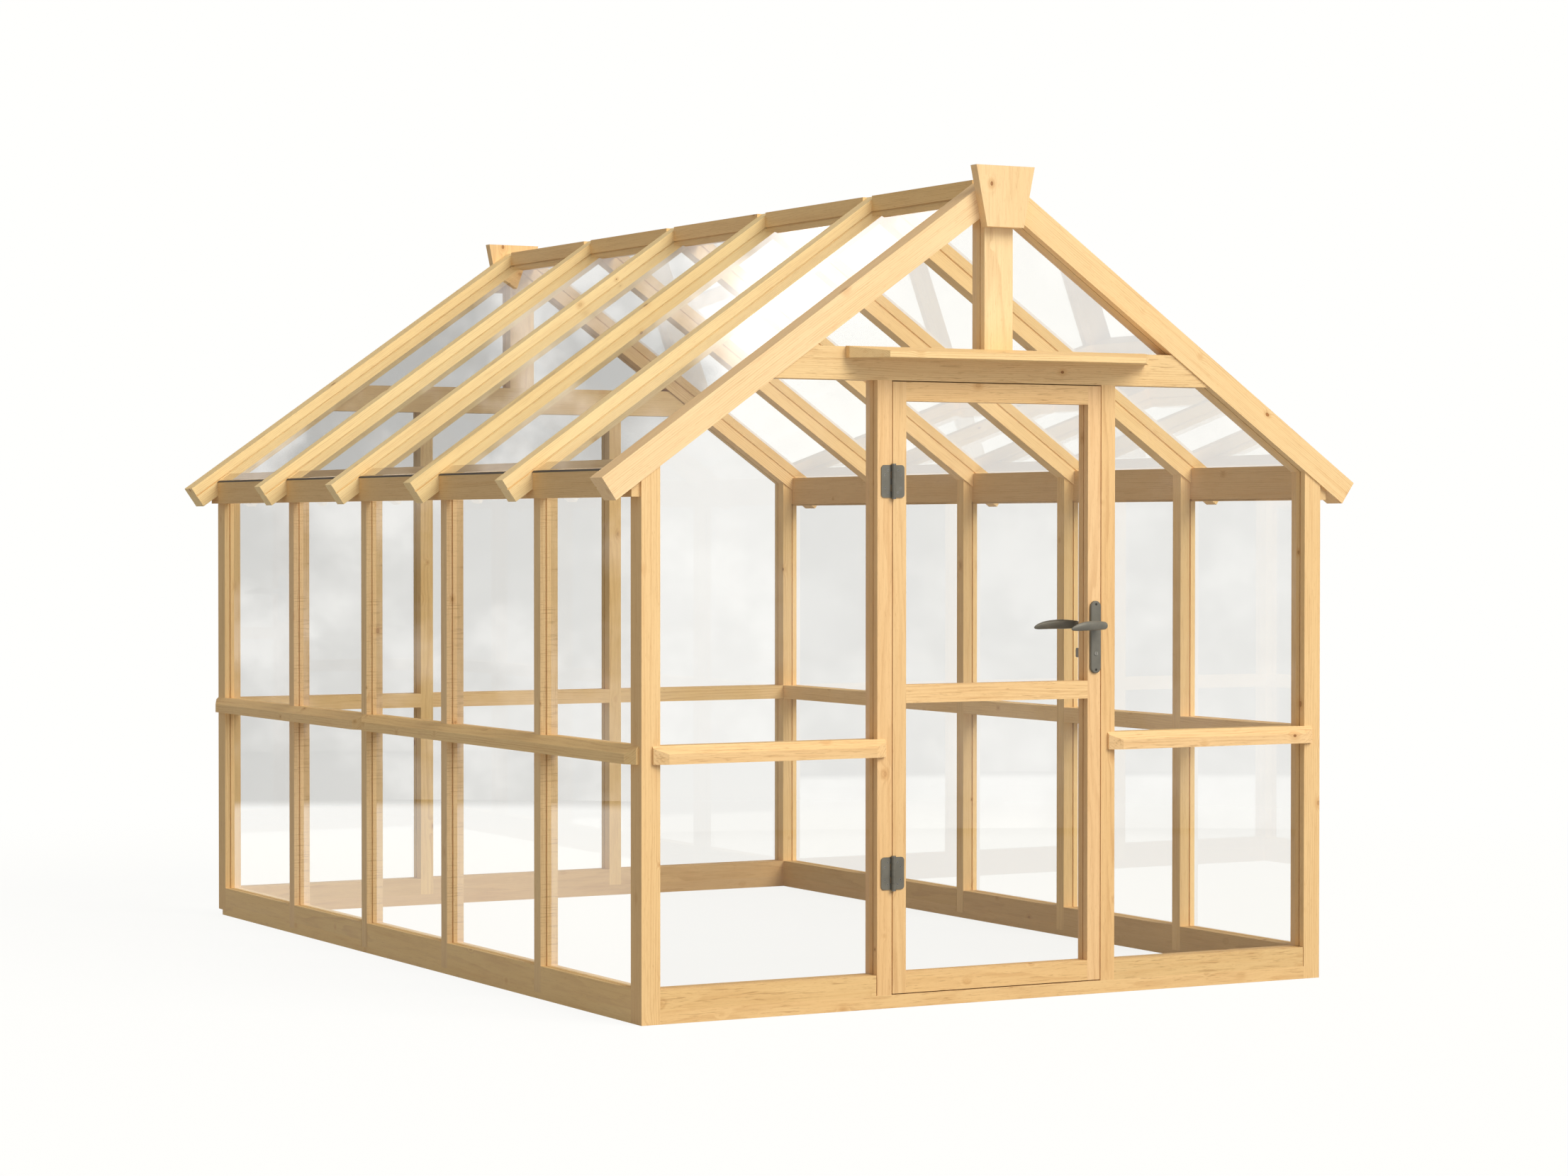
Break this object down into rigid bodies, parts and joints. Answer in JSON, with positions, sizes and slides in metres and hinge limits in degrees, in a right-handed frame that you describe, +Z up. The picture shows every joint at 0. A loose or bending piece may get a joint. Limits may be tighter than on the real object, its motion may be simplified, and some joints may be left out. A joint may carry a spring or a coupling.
{
  "type": "wooden greenhouse",
  "caption": "Gabled timber greenhouse with grooved posts and rafters, glass walls and roof, weather bars and a hinged glazed door with lever handle.",
  "frame": {"origin": "on the ground, at the middle of the whole greenhouse's length and width", "axes": "+Y runs along the ridge from the door to the back, +X to the right seen from the door side, +Z up"},
  "size_m": [2.556, 3.538, 2.419],
  "materials": {
    "frame_timber": "planed pine, satin",
    "door_timber": "planed pine, satin",
    "glass": "clear",
    "glazing_tape": "matt black",
    "grey_metal": "satin warm grey",
    "steel": "brushed"
  },
  "bodies": {
    "frame": {"sill_front": "frame_timber", "sill_back": "frame_timber", "sill_left": "frame_timber", "sill_right": "frame_timber", "corner_posts_front": "frame_timber", "corner_posts_back": "frame_timber", "studs_left": "frame_timber", "studs_right": "frame_timber", "studs_back": "frame_timber", "door_jamb_hinge_side": "frame_timber", "door_jamb_lock_side": "frame_timber", "bottom_rails_left": "frame_timber", "bottom_rails_right": "frame_timber", "bottom_rails_front": "frame_timber", "bottom_rails_back": "frame_timber", "transoms_left": "frame_timber", "transoms_right": "frame_timber", "transoms_front": "frame_timber", "transoms_back": "frame_timber", "weather_bars_left": "frame_timber", "weather_bars_right": "frame_timber", "weather_bars_front": "frame_timber", "weather_bars_back": "frame_timber", "eaves_beam_left": "frame_timber", "eaves_beam_right": "frame_timber", "tie_beam_front": "frame_timber", "tie_beam_back": "frame_timber", "king_posts": "frame_timber", "gable_rafters_left": "frame_timber", "gable_rafters_right": "frame_timber", "rafters_left": "frame_timber", "rafters_right": "frame_timber", "ridge_blocks": "frame_timber", "ridge_end_boards": "frame_timber", "door_canopy": "frame_timber", "door_stops": "frame_timber", "wall_glass_left": "glass", "wall_glass_right": "glass", "wall_glass_front": "glass", "wall_glass_back": "glass", "roof_glass_left": "glass", "roof_glass_right": "glass", "glazing_tapes": "glazing_tape", "hinge_leaves_frame": "grey_metal", "hinge_pins": "grey_metal", "hinge_screws_frame": "grey_metal", "strike_plate": "steel"},
    "door": {"door_hinge_stile": "door_timber", "door_lock_stile": "door_timber", "door_rails": "door_timber", "door_glass": "glass", "hinge_leaves_door": "grey_metal", "handle_plates": "grey_metal", "hinge_screws_door": "grey_metal", "handle_screws": "grey_metal", "lock_case": "steel"},
    "handle": {"handle_levers": "grey_metal"},
    "latch": {"latch_bolt": "steel"},
    "turn": {"thumb_turn": "grey_metal"},
    "bolt": {"dead_bolt": "steel"}
  },
  "joints": [
    {"name": "door_hinge", "type": "hinge", "parent": "frame", "child": "door", "pos_m": [-0.3555, -1.6563, 0.95], "axis": [0, 0, -1], "range_deg": [0, 110]},
    {"name": "handle_turn", "type": "hinge", "parent": "door", "child": "handle", "pos_m": [0.3345, -1.624, 1.087], "axis": [0, -1, 0], "range_deg": [0, 45], "stiffness_Nm_per_rad": 1.2, "springref_deg": -34.38},
    {"name": "latch_slide", "type": "slide", "parent": "door", "child": "latch", "axis": [-1, 0, 0], "range_m": [0, 0.0112]},
    {"name": "thumb_turn", "type": "hinge", "parent": "door", "child": "turn", "pos_m": [0.3345, -1.624, 1.004], "axis": [0, 1, 0], "range_deg": [0, 90]},
    {"name": "bolt_slide", "type": "slide", "parent": "door", "child": "bolt", "axis": [1, 0, 0], "range_m": [0, 0.0122]}
  ],
  "couplings": [
    {"joint": "latch_slide", "follows": "handle_turn", "m_per_rad": 0.014},
    {"joint": "bolt_slide", "follows": "thumb_turn", "m_per_rad": 0.00763}
  ]
}
